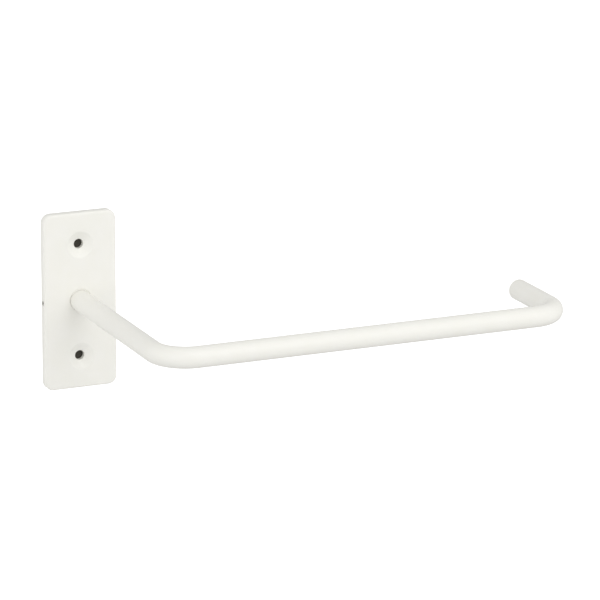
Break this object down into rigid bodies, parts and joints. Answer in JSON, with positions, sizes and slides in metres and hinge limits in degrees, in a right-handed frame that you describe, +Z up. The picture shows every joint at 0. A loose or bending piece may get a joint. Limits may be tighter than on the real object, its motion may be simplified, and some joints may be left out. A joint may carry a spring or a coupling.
{
  "type": "paper towel holder",
  "caption": "Wall-mounted paper towel holder: a flat rounded plate with countersunk screw holes carries a round bar bent into a U, open at one end so that a roll slips on.",
  "frame": {"origin": "centre of the plate's back face, which lies on the wall, on the axis of the bar's arm", "axes": "+X along the long stretch of the bar, towards its open end; +Y into the wall; +Z up"},
  "size_m": [0.2858, 0.1515, 0.11],
  "materials": {
    "powder_coat": "satin warm white powder coating on mild steel",
    "black_oxide": "black oxide on alloy steel, lightly oiled"
  },
  "bodies": {
    "root": {"wall_plate": "powder_coat", "holder_bar": "powder_coat", "set_screw": "black_oxide"}
  },
  "joints": []
}
